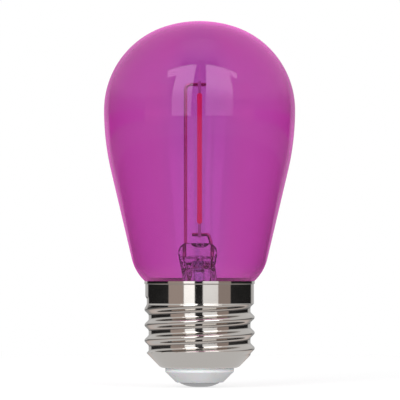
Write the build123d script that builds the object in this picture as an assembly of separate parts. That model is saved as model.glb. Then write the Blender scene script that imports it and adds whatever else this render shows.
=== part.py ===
from build123d import *
import os
from math import acos, asin, atan2, ceil, cos, degrees, radians, sin, sqrt

# A sign-shape LED filament bulb with a medium screw base, in millimetres and degrees.
# The bulb's axis is Z. The origin is the lowest point of the centre contact.
# X runs across the filament's frame, and the filament faces -Y.

# Glass envelope, blown as one thin wall
overall_length = 86.0
bulb_diameter = 45.0
glass_wall = 0.7
shoulder_offset = 1.8
crown_extra_radius = 6.0
belly_fullness = 1.54
lower_shoulder_radius = 10.6
seat_angle = 47.0
neck_fillet_radius = 2.5
neck_reach = 7.5
neck_clearance = 0.25

# Screw shell, rolled from sheet
thread_diameter = 25.95
thread_depth = 1.0
thread_pitch = 25.4 / 7
thread_length = 11.2
thread_start_angle = 123.0
thread_crest_land = 0.5
thread_root_land = 0.8
thread_bevel_depth = 0.22
thread_bevel_run = 0.42
thread_fade = 1.0
thread_overrun = 0.25
runout_turn = 60.0
pieces_a_turn = 2
shell_sheet = 0.3
cone_height = 4.05
cone_foot_inset = 3.9
cone_foot_fillet = 1.8
lip_width = 1.6
collar_step = 0.2
collar_height = 4.5
rim_flare = 0.5
rim_height = 0.6
rim_clearance = 0.1

# Insulator and centre contact
contact_diameter = 9.2
contact_height = 1.05
contact_flat_diameter = 2.4
contact_edge = 0.15
contact_shank_diameter = 2.4
contact_shank_reach = 1.35
insulator_height = 3.4
insulator_band = 0.9
insulator_overlap = 0.6
insulator_foot_margin = 0.9
insulator_flange = 1.2
insulator_flange_overlap = 0.9
insulator_boss_diameter = 5.0
insulator_boss_height = 1.65
base_clearance = 0.05

# Glass stem, with its flare, press and exhaust tube
stem_height = 16.5
stem_tube_diameter = 8.1
stem_wall = 0.8
flare_radius = 5.0
throat_rise = 1.2
press_width = 9.3
press_foot_width = 7.9
press_offset = 0.45
press_depth = 4.8
press_height = 5.8
press_blend = 2.6
press_crown = 1.2
exhaust_diameter = 3.2
exhaust_wall = 0.7
exhaust_depth_in_press = 1.8
exhaust_drop = 3.0
exhaust_tip_length = 1.8
exhaust_tip_wall = 1.0
blow_hole_diameter = 1.2
seal_clearance = 0.02

# Lead wires
lead_diameter = 0.8
lead_bend_radius = 1.2
short_lead_bend_radius = 0.6
lead_depth_in_press = 3.6
tall_lead_offset = 3.3
short_lead_offset = 2.7
short_lead_lean = 0.6
short_lead_rise = 2.0
tall_arm_reach = 1.6
short_arm_reach = 1.8
outer_lead_diameter = 0.5
outer_lead_offset = 2.45

# LED filament
filament_length = 30.8
filament_width = 1.2
filament_thickness = 1.1
filament_edge_fillet = 0.4
substrate_width = 0.8
substrate_thickness = 0.4
tab_width = 0.7
tab_thickness = 0.15
tab_cover = 0.6
tab_overhang = 0.7
upper_tab_reach = 2.0
lower_tab_reach = 2.5
weld_clearance = 0.02
chip_count = 28
chip_length = 0.7
chip_width = 0.3
chip_thickness = 0.12

# Driver board and what is soldered to it
board_width = 14.0
board_height = 9.5
board_thickness = 1.0
board_offset = 3.0
hole_clearance = 0.05
capacitor_diameter = 5.0
capacitor_length = 9.0
capacitor_edge_bevel = 0.4
capacitor_gap = 0.3
capacitor_leg_diameter = 0.5
capacitor_leg_spacing = 2.0
capacitor_leg_run = 1.2
leg_protrusion = 0.6
fuse_diameter = 2.3
fuse_length = 5.0
fuse_gap = 0.25
fuse_edge_bevel = 0.3
fuse_lead_diameter = 0.5
fuse_pad_edge = 1.2
fuse_lead_drop = 1.4
bridge_width = 4.7
bridge_height = 3.8
bridge_thickness = 1.5
bridge_leg_pitch = 2.5
driver_chip_width = 4.9
driver_chip_height = 3.9
driver_chip_thickness = 1.4
driver_leg_pitch = 1.27
leg_reach = 0.9
leg_width = 0.6
leg_thickness = 0.2
package_edge = 1.4
package_gap = 0.15
resistor_count = 3
resistor_length = 3.2
resistor_width = 1.6
resistor_thickness = 0.6
resistor_pitch = 3.9
resistor_gap = 0.3
solder_diameter = 1.5
solder_height = 0.45
solder_crown_width = 0.15
shell_wire_diameter = 0.6
shell_wire_gap = 0.15

# Sizes of tools that reach past what they cut
overcut = 1.0
groove_overcut = 0.4

# Heights of the base, from the contact up
insulator_base = contact_height
lip_level = insulator_base + insulator_height
cone_top = lip_level + cone_height
thread_top = cone_top + thread_length
collar_top = thread_top + collar_height
rim_level = collar_top + rim_height
insulator_floor = lip_level + shell_sheet + insulator_flange
boss_top = insulator_floor + insulator_boss_height

# Radii of the base
crest_radius = thread_diameter / 2
root_radius = crest_radius - thread_depth
collar_radius = crest_radius - collar_step
rim_radius = collar_radius + rim_flare
cone_foot_radius = crest_radius - cone_foot_inset
opening_radius = cone_foot_radius - lip_width

# Glass seats on the rim, and its neck passes inside the rolled thread
seat_radius = rim_radius - shell_sheet - rim_clearance
neck_radius = root_radius - shell_sheet - neck_clearance
seal_level = rim_level - neck_reach

# Heights of the stem and of the filament that its leads carry
press_top = seal_level + stem_height
press_base = press_top - press_height
tube_top = press_base - press_blend
short_arm_level = press_top + short_lead_rise
coat_bottom = short_arm_level + lower_tab_reach
coat_top = coat_bottom + filament_length
tall_arm_level = coat_top + upper_tab_reach
filament_y = -(lead_diameter / 2 + weld_clearance + tab_thickness / 2)

# The driver board stands on the insulator's floor, behind the axis
board_front = board_offset
board_back = board_offset + board_thickness
board_top = insulator_floor + board_height
capacitor_level = boss_top + capacitor_gap + capacitor_diameter / 2
leg_x = capacitor_length / 2 + capacitor_leg_run
fuse_x = -(capacitor_length / 2 + fuse_gap + fuse_diameter / 2)
fuse_bottom = boss_top + base_clearance
fuse_top = fuse_bottom + fuse_length
fuse_pad_level = board_top - fuse_pad_edge
contact_lead_level = fuse_bottom - fuse_lead_drop / 2
contact_shank_top = insulator_floor + contact_shank_reach


def turned(edges):
    """Solid of revolution about Z from edges drawn as radius and height."""
    return revolve(Plane.XZ * make_face(edges), Axis.Z)


def turned_corners(*corners):
    """Solid of revolution about Z from straight runs between corners of radius and height."""
    return turned(Polyline(*corners, close=True).edges())


def upright(diameter, bottom, top, x=0.0, y=0.0):
    """Cylinder along Z between two heights."""
    shaft = Cylinder(diameter / 2, top - bottom, align=(Align.CENTER, Align.CENTER, Align.MIN))
    return Pos(x, y, bottom) * shaft


def round_wire(points, diameter, bend_radius=0):
    """Round wire along straight runs, with rounded bends or, where no radius is given, mitred ones."""
    route = FilletPolyline(*points, radius=bend_radius) if bend_radius else Polyline(*points)
    section = Plane(origin=route @ 0, z_dir=route % 0) * Circle(diameter / 2)
    return sweep(section, path=route, transition=Transition.RIGHT)


def moved_left(corners, distance):
    """Corners of an open outline after each of its runs has moved to its left by a distance."""
    starts = [Vector(*corner) for corner in corners]
    runs = [(end - start).normalized() for start, end in zip(starts, starts[1:])]
    normals = [Vector(-run.Y, run.X) for run in runs]
    moved = [starts[0] + normals[0] * distance]
    for corner, before, after in zip(starts[1:-1], normals, normals[1:]):
        moved.append(corner + (before + after) * (distance / (1 + before.dot(after))))
    moved.append(starts[-1] + normals[-1] * distance)
    return [(corner.X, corner.Y) for corner in moved]


def groove_profile(inset):
    """Section of the thread's groove in the XZ plane, moved inwards by an inset and open past the crest."""
    half_groove = (thread_pitch - thread_crest_land) / 2
    crest = crest_radius - inset
    flank = [(crest, half_groove), (root_radius - inset, thread_root_land / 2)]
    if not inset:
        flank.insert(1, (crest - thread_bevel_depth, half_groove - thread_bevel_run))
    flank_slope = (half_groove - flank[1][1]) / (crest - flank[1][0])
    flank[0] = (crest + groove_overcut, half_groove + flank_slope * groove_overcut)
    other_flank = [(radius, -height) for radius, height in reversed(flank)]
    return Plane.XZ * make_face(Polyline(*flank, *other_flank, close=True))


def cut_thread(blank, inset):
    """Blank with the right-hand groove cut a part of a turn at a time, up to its fading end."""
    section = groove_profile(inset)
    low = cone_top - (thread_pitch - thread_crest_land) / 2
    high = thread_top + thread_overrun
    pieces = ceil((high - low) / thread_pitch * pieces_a_turn)
    rise = (high - low) / pieces
    turn = 360 * rise / thread_pitch
    first_angle = thread_start_angle - 360 * (cone_top - low) / thread_pitch
    cutter = sweep(section, path=Helix(thread_pitch, rise, crest_radius), is_frenet=True)
    for index in range(pieces):
        blank -= Location((0, 0, low + index * rise), (0, 0, first_angle + index * turn)) * cutter
    runout_rise = thread_pitch * runout_turn / 360
    runout_slope = degrees(atan2(thread_depth + inset + collar_step, runout_rise))
    runout_path = Helix(thread_pitch, runout_rise, crest_radius, cone_angle=runout_slope)
    runout = sweep(section, path=runout_path, is_frenet=True)
    return blank - Location((0, 0, high), (0, 0, first_angle + pieces * turn)) * runout


def shell_form(inset):
    """Outside of the screw shell moved inwards by an inset: cone, thread, collar and flared rim."""
    flare_run = overcut if inset else 0
    corners = moved_left(
        [
            (0, lip_level),
            (cone_foot_radius, lip_level),
            (crest_radius, cone_top),
            (crest_radius, thread_top - thread_fade),
            (collar_radius, thread_top),
            (collar_radius, collar_top),
            (rim_radius + rim_flare * flare_run / rim_height, rim_level + flare_run),
        ],
        inset,
    )
    face = make_face(Polyline(*corners, (0, corners[-1][1]), close=True))
    foot = face.vertices().sort_by_distance((*corners[1], 0))[0]
    blank = revolve(Plane.XZ * fillet(foot, cone_foot_fillet - inset), Axis.Z)
    return cut_thread(blank, inset)


def screw_shell(outside, inside):
    """Rolled shell: the outside form less the inside one, and the opening for the insulator."""
    opening = upright(2 * opening_radius, lip_level - overcut, lip_level + overcut)
    return outside - inside - opening


def glass_outline(inset):
    """Outline of the glass moved inwards by an inset, as tangent arcs and one straight taper."""
    shoulder_radius = bulb_diameter / 2 - shoulder_offset
    crown_radius = shoulder_radius + crown_extra_radius
    crown_turn = degrees(asin(shoulder_offset / crown_extra_radius))
    belly_level = overall_length - crown_radius + crown_extra_radius * cos(radians(crown_turn))
    belly_radius = belly_fullness * (belly_level - rim_level)
    belly_centre = Vector(bulb_diameter / 2 - belly_radius, belly_level)

    lower_x = seat_radius - lower_shoulder_radius * cos(radians(seat_angle))
    lower_y = rim_level + lower_shoulder_radius * sin(radians(seat_angle))
    between = Vector(lower_x, lower_y) - belly_centre
    radius_drop = belly_radius - lower_shoulder_radius
    taper_angle = degrees(atan2(-between.Y, between.X) - acos(radius_drop / between.length))
    taper_length = sqrt(between.length**2 - radius_drop**2)

    both_radii = lower_shoulder_radius + neck_fillet_radius
    steepest = degrees(acos((neck_radius + neck_fillet_radius - lower_x) / both_radii))

    crown = JernArc((0, overall_length - inset), (1, 0), crown_radius - inset, -crown_turn)
    shoulder = JernArc(crown @ 1, crown % 1, shoulder_radius - inset, crown_turn - 90)
    belly = JernArc(shoulder @ 1, shoulder % 1, belly_radius - inset, -taper_angle)
    taper = Line(belly @ 1, belly @ 1 + (belly % 1) * taper_length)
    lower = JernArc(taper @ 1, taper % 1, lower_shoulder_radius - inset, taper_angle - steepest)
    fillet_arc = JernArc(lower @ 1, lower % 1, neck_fillet_radius + inset, steepest)
    neck = Line(fillet_arc @ 1, ((fillet_arc @ 1).X, seal_level))
    return [crown, shoulder, belly, taper, lower, fillet_arc, neck]


def glass_envelope():
    """Blown wall from the crown to the neck's lower edge."""
    outer = glass_outline(0)
    inner = glass_outline(glass_wall)
    crown_edge = Line(inner[0] @ 0, outer[0] @ 0)
    neck_edge = Line(outer[-1] @ 1, inner[-1] @ 1)
    return turned([*outer, neck_edge, *inner, crown_edge])


def basing_cement(inside):
    """Cement between the neck and the inside of the shell, up to where the neck widens."""
    top = (glass_outline(0)[-1] @ 0).Y
    bottom = seal_level + stem_wall
    ring = upright(2 * rim_radius, bottom, top) - upright(2 * neck_radius, bottom, top)
    return ring & inside


def base_insulator():
    """Moulded plug that grips the shell's lip between its outer band and its inner flange."""
    hole = contact_shank_diameter / 2 + base_clearance
    band = opening_radius + insulator_overlap
    foot = contact_diameter / 2 + insulator_foot_margin
    waist = opening_radius - base_clearance
    flange = opening_radius + insulator_flange_overlap
    boss = insulator_boss_diameter / 2
    lip_top = lip_level + shell_sheet
    body = turned_corners(
        (hole, insulator_base),
        (foot, insulator_base),
        (band, lip_level - insulator_band),
        (band, lip_level),
        (waist, lip_level),
        (waist, lip_top),
        (flange, lip_top),
        (flange, insulator_floor),
        (boss, insulator_floor),
        (boss, boss_top),
        (hole, boss_top),
    )
    slot = fuse_lead_diameter + 2 * hole_clearance
    reach = insulator_boss_diameter
    lead_slot = Pos(-reach / 2, 0, contact_lead_level) * Rot(0, 90, 0) * Cylinder(slot / 2, reach)
    return body - lead_slot


def center_contact():
    """Stamped button with a domed face, and the shank that holds it in the insulator."""
    flat = contact_flat_diameter / 2
    edge = contact_diameter / 2
    rise = contact_height - contact_edge
    run = edge - flat
    dome_radius = (run**2 + rise**2) / (2 * rise)
    dome_turn = degrees(asin(run / dome_radius))
    dome = JernArc((flat, 0), (1, 0), dome_radius, dome_turn)
    shank = contact_shank_diameter / 2
    rest = Polyline(
        dome @ 1,
        (edge, contact_height),
        (shank, contact_height),
        (shank, contact_shank_top),
        (0, contact_shank_top),
        (0, 0),
        (flat, 0),
    )
    return turned([dome, *rest.edges()])


def tall_lead_points():
    """Route of the long lead: out of the press, up beside the filament and across its top."""
    foot = (-tall_lead_offset, 0, press_top - lead_depth_in_press)
    corner = (-tall_lead_offset, 0, tall_arm_level)
    return [foot, corner, (tall_arm_reach, 0, tall_arm_level)]


def short_lead_points():
    """Route of the short lead: out of the press and across under the filament."""
    foot = (short_lead_offset, 0, press_top - lead_depth_in_press)
    exit_point = (short_lead_offset, 0, press_top)
    corner = (short_lead_offset - short_lead_lean, 0, short_arm_level)
    return [foot, exit_point, corner, (-short_arm_reach, 0, short_arm_level)]


def outer_lead_points(side, inner_offset):
    """Route of a thin lead: from the inner lead's foot, down the stem and onto the board."""
    foot = press_top - lead_depth_in_press
    pad_x = board_width / 2 - outer_lead_offset
    pad_y = board_front - outer_lead_diameter / 2 - weld_clearance
    return [
        (side * inner_offset, 0, foot),
        (side * inner_offset, 0, foot - outer_lead_diameter),
        (side * outer_lead_offset, 0, press_base - press_blend / 2),
        (side * outer_lead_offset, 0, seal_level + stem_wall),
        (side * pad_x, pad_y, board_top),
        (side * pad_x, pad_y, board_top - 2 * solder_diameter),
    ]


def lead_wires():
    """The two stiff leads that carry the filament, and the two thin ones that go on to the board."""
    return {
        "tall_lead_wire": round_wire(tall_lead_points(), lead_diameter, lead_bend_radius),
        "short_lead_wire": round_wire(short_lead_points(), lead_diameter, short_lead_bend_radius),
        "outer_lead_left": round_wire(outer_lead_points(-1, tall_lead_offset), outer_lead_diameter),
        "outer_lead_right": round_wire(outer_lead_points(1, short_lead_offset), outer_lead_diameter),
    }


def exhaust_tube():
    """Tube that the bulb was filled through, drawn to a blunt cone where it was melted shut."""
    radius = exhaust_diameter / 2
    bore = radius - exhaust_wall
    tip = seal_level - exhaust_drop
    top = press_base + exhaust_depth_in_press
    shoulder = tip + exhaust_tip_length
    return turned_corners(
        (0, tip),
        (exhaust_wall, tip),
        (radius, shoulder),
        (radius, top),
        (bore, top),
        (bore, shoulder),
        (0, tip + exhaust_tip_wall),
    )


def glass_stem():
    """Flare, tube and press of the stem, with holes for the leads, exhaust tube and blow hole."""
    radius = stem_tube_diameter / 2
    bore = radius - stem_wall
    under = seal_level - stem_wall
    flare = JernArc((radius + flare_radius, seal_level), (-1, 0), flare_radius, -90)
    tube_side = Polyline(flare @ 1, (radius, tube_top), (0, tube_top), (0, under))
    flange = Polyline((0, under), (neck_radius, under), (neck_radius, seal_level), flare @ 0)
    foot = turned([flare, *tube_side.edges(), *flange.edges()])

    throat = JernArc((radius + flare_radius, under), (-1, 0), flare_radius + stem_wall, -90)
    hollow_top = tube_top + throat_rise
    hollow_side = Polyline(
        throat @ 1,
        (bore, tube_top),
        (bore - throat_rise, hollow_top),
        (0, hollow_top),
        (0, under),
        throat @ 0,
    )
    hollow = turned([throat, *hollow_side.edges()])

    half_width = press_width / 2
    half_depth = press_depth / 2
    crown_base = press_top - press_crown
    waist = (press_base + crown_base) / 2
    sections = [
        (press_base, press_foot_width / 2, half_depth),
        (waist, half_width, half_depth),
        (crown_base, half_width, half_depth),
        (press_top, half_width - press_crown, half_depth - press_crown / 2),
    ]
    press = loft(
        [
            Pos(0, 0, tube_top) * Circle(radius),
            *[Pos(-press_offset, 0, level) * Ellipse(width, depth) for level, width, depth in sections],
        ]
    )

    socket_top = press_base + exhaust_depth_in_press
    hole_level = socket_top + blow_hole_diameter
    duct_top = hole_level + blow_hole_diameter
    socket = upright(exhaust_diameter + 2 * seal_clearance, tube_top, socket_top)
    duct = upright(exhaust_diameter - 2 * exhaust_wall, socket_top - stem_wall, duct_top)
    drill = Cylinder(blow_hole_diameter / 2, press_depth, align=(Align.CENTER, Align.CENTER, Align.MIN))
    blow_hole = Pos(0, 0, hole_level) * Rot(90, 0, 0) * drill
    stem = foot + press - hollow - socket - duct - blow_hole

    lead_hole = lead_diameter + 2 * seal_clearance
    outer_hole = outer_lead_diameter + 2 * seal_clearance
    lead_foot = press_top - lead_depth_in_press
    for side, offset in ((-1, tall_lead_offset), (1, short_lead_offset)):
        stem -= upright(lead_hole, lead_foot, press_top + overcut, side * offset)
        stem -= round_wire(outer_lead_points(side, offset)[:4], outer_hole)
    return stem


def filament_pieces():
    """Substrate, end tabs, chips and the phosphor coat that is moulded over them."""
    middle = (coat_bottom + coat_top) / 2
    substrate_length = filament_length - 2 * tab_cover
    substrate = Box(substrate_width, substrate_thickness, substrate_length)
    substrate = Pos(0, filament_y, middle) * substrate

    low_end = coat_bottom + tab_cover
    high_end = coat_top - tab_cover
    tab_foot = short_arm_level - tab_overhang
    tab_head = tall_arm_level + tab_overhang
    on_bottom = (Align.CENTER, Align.CENTER, Align.MIN)
    lower_tab = Box(tab_width, tab_thickness, low_end - tab_foot, align=on_bottom)
    lower_tab = Pos(0, filament_y, tab_foot) * lower_tab
    upper_tab = Box(tab_width, tab_thickness, tab_head - high_end, align=on_bottom)
    upper_tab = Pos(0, filament_y, high_end) * upper_tab

    chip_pitch = substrate_length / chip_count
    chip_y = filament_y - substrate_thickness / 2 - chip_thickness / 2
    first_chip = low_end + chip_pitch / 2
    chip = Box(chip_width, chip_thickness, chip_length)
    chips = [Pos(0, chip_y, first_chip + index * chip_pitch) * chip for index in range(chip_count)]

    section = RectangleRounded(filament_width, filament_thickness, filament_edge_fillet)
    coat = Pos(0, filament_y, coat_bottom) * extrude(section, filament_length)
    for buried in [substrate, lower_tab, upper_tab, *chips]:
        coat -= buried
    return {
        "filament_substrate": substrate,
        "filament_lower_tab": lower_tab,
        "filament_upper_tab": upper_tab,
        "led_chips": Compound(chips),
        "phosphor_coat": coat,
    }


def on_board(width, thickness, height):
    """Block that lies on a board's back face, at the board's origin."""
    return Box(width, thickness, height, align=(Align.CENTER, Align.MIN, Align.CENTER))


def legged_package(width, height, thickness, leg_pitch, legs_a_side):
    """Moulded package with flat legs along its top and bottom edges."""
    body = on_board(width, thickness, height)
    leg = on_board(leg_width, leg_thickness, leg_reach)
    for side in (-1, 1):
        for index in range(legs_a_side):
            leg_offset = (index - (legs_a_side - 1) / 2) * leg_pitch
            body += Pos(leg_offset, 0, side * (height + leg_reach) / 2) * leg
    return body


def capacitor_legs(clearance):
    """The capacitor's two legs, bent from its end into the board."""
    legs = []
    for side in (-1, 1):
        level = capacitor_level + side * capacitor_leg_spacing / 2
        route = [
            (capacitor_length / 2, 0, level),
            (leg_x, 0, level),
            (leg_x, board_back + leg_protrusion, level),
        ]
        legs.append(round_wire(route, capacitor_leg_diameter + 2 * clearance))
    return Compound(legs)


def fuse_leads(clearance):
    """The fuse's two leads: its top one into the board, its bottom one to the contact's shank."""
    diameter = fuse_lead_diameter + 2 * clearance
    board_lead = round_wire(
        [
            (fuse_x, 0, fuse_top),
            (fuse_x, 0, fuse_pad_level),
            (fuse_x, board_back + leg_protrusion, fuse_pad_level),
        ],
        diameter,
    )
    shank_face = -(contact_shank_diameter / 2 + base_clearance)
    contact_lead = round_wire(
        [
            (fuse_x, 0, fuse_bottom),
            (fuse_x, 0, contact_lead_level),
            (shank_face, 0, contact_lead_level),
        ],
        diameter,
    )
    return Compound([board_lead, contact_lead])


def solder_joints(pins):
    """Cones of solder round the pins that come through the board's back face."""
    base = solder_diameter / 2
    crown = capacitor_leg_diameter / 2 + solder_crown_width
    dome = turned_corners((0, 0), (base, 0), (crown, solder_height), (0, solder_height))
    joints = []
    for x, z in pins:
        joint = Pos(x, board_back, z) * Rot(-90, 0, 0) * dome
        pin = Pos(x, board_back, z) * Rot(90, 0, 0) * Cylinder(capacitor_leg_diameter / 2, 2 * overcut)
        joints.append((joint - pin).solid())
    return Compound(joints)


def back_face_parts():
    """Rectifier, driver chip and resistors on the board's back, clear of the capacitor's pins."""
    chip_x = leg_x - solder_diameter / 2 - package_gap - driver_chip_width / 2
    bridge_x = chip_x - (driver_chip_width + bridge_width) / 2 - package_gap
    half_row = max(bridge_height, driver_chip_height) / 2 + leg_reach
    row_level = board_top - package_edge - half_row
    resistor_level = row_level - half_row - resistor_gap - resistor_width / 2
    bridge = legged_package(bridge_width, bridge_height, bridge_thickness, bridge_leg_pitch, 2)
    chip = legged_package(driver_chip_width, driver_chip_height, driver_chip_thickness, driver_leg_pitch, 4)
    resistor = on_board(resistor_length, resistor_thickness, resistor_width)
    first_x = -(resistor_count - 1) / 2 * resistor_pitch
    resistors = [
        Pos(first_x + index * resistor_pitch, board_back, resistor_level) * resistor
        for index in range(resistor_count)
    ]
    return {
        "bridge_rectifier": Pos(bridge_x, board_back, row_level) * bridge,
        "driver_chip": Pos(chip_x, board_back, row_level) * chip,
        "chip_resistors": Compound(resistors),
    }


def shell_wire():
    """Bare wire from the board's edge to the bottom of the thread's groove, level with it there."""
    y = (board_front + board_back) / 2
    inner_root = root_radius - shell_sheet - shell_wire_gap
    azimuth = degrees(asin(y / inner_root))
    turns = (azimuth - thread_start_angle) / 360 + 1
    level = cone_top + thread_pitch * turns
    end = sqrt(inner_root**2 - (y + shell_wire_diameter / 2) ** 2)
    return round_wire([(board_width / 2, y, level), (end, y, level)], shell_wire_diameter)


def driver_pieces():
    """Board that feeds the filament, with its parts and the wires to the contact and the shell."""
    blank = Box(board_width, board_thickness, board_height, align=(Align.CENTER, Align.MIN, Align.MIN))
    board = Pos(0, board_front, insulator_floor) * blank
    for pin in [*capacitor_legs(hole_clearance).solids(), *fuse_leads(hole_clearance).solids()]:
        board -= pin

    can = Rot(0, 90, 0) * Cylinder(capacitor_diameter / 2, capacitor_length)
    can = chamfer(can.edges().filter_by(GeomType.CIRCLE), capacitor_edge_bevel)
    fuse = upright(fuse_diameter, fuse_bottom, fuse_top, fuse_x)
    fuse = chamfer(fuse.edges().filter_by(GeomType.CIRCLE), fuse_edge_bevel)
    pins = [(leg_x, capacitor_level + side * capacitor_leg_spacing / 2) for side in (-1, 1)]
    pins.append((fuse_x, fuse_pad_level))
    return {
        "driver_board": board,
        "smoothing_capacitor": Pos(0, 0, capacitor_level) * can,
        "capacitor_legs": capacitor_legs(0),
        "fuse_resistor": fuse,
        "fuse_leads": fuse_leads(0),
        "solder_joints": solder_joints(pins),
        "shell_wire": shell_wire(),
    }


outside_form = shell_form(0)
inside_form = shell_form(shell_sheet)

nodes = {
    "glass_envelope": glass_envelope(),
    "glass_stem": glass_stem(),
    "exhaust_tube": exhaust_tube(),
    "basing_cement": basing_cement(inside_form),
    "screw_shell": screw_shell(outside_form, inside_form),
    "base_insulator": base_insulator(),
    "center_contact": center_contact(),
}
nodes.update(lead_wires())
nodes.update(filament_pieces())
nodes.update(driver_pieces())
nodes.update(back_face_parts())

os.makedirs("parts", exist_ok=True)
for name, shape in nodes.items():
    export_step(shape, f"parts/{name}.step")
    print(name, len(shape.solids()), "solids", round(shape.volume, 2), "mm3")
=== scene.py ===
# %% [markdown]
# # A purple sign bulb with an LED filament
# The real lamp is a blown envelope of purple glass, melted to a clear stem that carries the filament, and
# cemented into a rolled screw shell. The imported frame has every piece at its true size. This lesson gives
# the visible pieces their rounded forms, and all of them their finishes, in the frame's own axes: Z is the
# bulb's axis, -Y its front.

# %% Load the frame
from math import acos, asin, atan2, ceil, cos, degrees, hypot, radians, sin, sqrt, tan, tau

import bmesh
import bpy
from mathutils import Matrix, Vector


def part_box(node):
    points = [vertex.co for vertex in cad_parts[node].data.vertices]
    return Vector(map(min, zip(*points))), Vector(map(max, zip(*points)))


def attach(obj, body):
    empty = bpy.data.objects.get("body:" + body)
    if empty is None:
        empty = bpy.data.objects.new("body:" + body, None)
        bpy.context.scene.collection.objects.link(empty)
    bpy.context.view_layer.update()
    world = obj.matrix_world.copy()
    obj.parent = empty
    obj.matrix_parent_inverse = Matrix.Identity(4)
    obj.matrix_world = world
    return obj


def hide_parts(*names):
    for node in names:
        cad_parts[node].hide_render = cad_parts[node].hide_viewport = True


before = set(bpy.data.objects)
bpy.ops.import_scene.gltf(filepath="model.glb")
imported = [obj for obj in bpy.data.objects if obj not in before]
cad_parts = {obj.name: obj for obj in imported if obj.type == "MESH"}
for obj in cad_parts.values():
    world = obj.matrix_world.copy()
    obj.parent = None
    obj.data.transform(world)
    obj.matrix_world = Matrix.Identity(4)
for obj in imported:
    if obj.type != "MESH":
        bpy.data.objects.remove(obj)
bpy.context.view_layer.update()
print("solids in the frame:", len(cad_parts))


# %% [markdown]
# ## Sockets that do sums
# Finishes and rules are node trees. Adding a node and two links for each sum is slow to read, so this class
# wraps an output socket and lets Python's operators add the Math nodes. Every other node comes from one
# method, which takes the node's settings first and then what goes into its sockets.

# %% Wrap a socket
class Signal:
    """An output socket of a node tree, with the operators of a number."""

    def __init__(self, tree, socket=None):
        self.tree = tree
        self.socket = socket

    def node(self, kind, settings=None, values=None):
        """Any node: its settings, then the values or links of its sockets. The first output is returned."""
        made = self.tree.nodes.new(kind)
        for name, setting in (settings or {}).items():
            setattr(made, name, setting)
        for name, value in (values or {}).items():
            if isinstance(value, Signal):
                self.tree.links.new(value.socket, made.inputs[name])
            else:
                made.inputs[name].default_value = value
        return Signal(self.tree, made.outputs[0])

    def out(self, name):
        """Another output of the same node."""
        return Signal(self.tree, self.socket.node.outputs[name])

    def maths(self, operation, *others):
        return self.node("ShaderNodeMath", {"operation": operation}, dict(enumerate((self, *others))))

    def swapped(self, operation, other):
        return self.node("ShaderNodeMath", {"operation": operation}, {0: other, 1: self})

    def __add__(self, other):
        return self.maths("ADD", other)

    def __radd__(self, other):
        return self.swapped("ADD", other)

    def __sub__(self, other):
        return self.maths("SUBTRACT", other)

    def __rsub__(self, other):
        return self.swapped("SUBTRACT", other)

    def __mul__(self, other):
        return self.maths("MULTIPLY", other)

    def __rmul__(self, other):
        return self.swapped("MULTIPLY", other)

    def __truediv__(self, other):
        return self.maths("DIVIDE", other)

    def __pow__(self, other):
        return self.maths("POWER", other)

    def axes(self):
        """X, Y and Z of a vector."""
        apart = self.node("ShaderNodeSeparateXYZ", None, {0: self})
        return [apart.out(name) for name in "XYZ"]

    def rise(self, low, high):
        """0 below a low value and 1 above a high one, with a smooth step between them."""
        limits = {"Value": self, "From Min": low, "From Max": high}
        return self.node("ShaderNodeMapRange", {"interpolation_type": "SMOOTHSTEP"}, limits)

    def between(self, first, second):
        """A colour that goes from the first to the second as this value goes from 0 to 1."""
        mix = self.node("ShaderNodeMix", {"data_type": "RGBA"}, {0: self, 6: first, 7: second})
        return mix.out(2)


print("a socket now takes", "+ - * / **")


# %% [markdown]
# ## A finish and its grain
# Each finish is a Principled surface. What is the same all over it is set on the shader's own sockets. What
# changes over the surface, such as a slight mottle or the lines left by a tool, is read from Object
# coordinates, so it stays where it is when the model is used elsewhere. Scales are counts for each metre:
# 1000 gives marks of about 1 mm.

# %% Make finishes
def finish(name, **sockets):
    """A material with plain values on the sockets of its Principled surface."""
    material = bpy.data.materials.new(name)
    material.use_nodes = True
    surface = material.node_tree.nodes["Principled BSDF"]
    for label, value in sockets.items():
        surface.inputs[label.replace("_", " ")].default_value = value
    return material


def feed(material, label, signal):
    """Links a varying value or colour to a socket of the Principled surface."""
    surface = material.node_tree.nodes["Principled BSDF"]
    material.node_tree.links.new(signal.socket, surface.inputs[label])


def grain(material, scale, detail=3.0, stretch=(1.0, 1.0, 1.0)):
    """Noise between 0 and 1 on the piece's own coordinates, longer along an axis whose stretch is small."""
    start = Signal(material.node_tree)
    place = start.node("ShaderNodeTexCoord").out("Object")
    place = start.node("ShaderNodeMapping", None, {"Vector": place, "Scale": stretch})
    return start.node("ShaderNodeTexNoise", None, {"Vector": place, "Scale": scale, "Detail": detail})


def relief(material, height, depth, strength):
    """Bump of a depth in metres, on the surface's normal."""
    values = {"Strength": strength, "Distance": depth, "Height": height}
    feed(material, "Normal", height.node("ShaderNodeBump", None, values))


print("finishes take plain values, grain and relief")


# %% [markdown]
# ## Shapes from rings
# Glass, insulator and contact are round about the bulb's axis, so they are turned from a section, as on a
# lathe. The stem's press is flattened, so it is a skin over rings of changing outline. One function covers
# both: it joins ring to ring and treats a ring of one point as a pole, which keeps every piece closed.
# Sections are in millimetres, and the scene is in metres.

# %% Join rings into a skin
MM = 0.001


def added(name, mesh):
    """A new object for a mesh, at the origin, in the scene."""
    piece = bpy.data.objects.new(name, mesh)
    bpy.context.scene.collection.objects.link(piece)
    return piece


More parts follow.
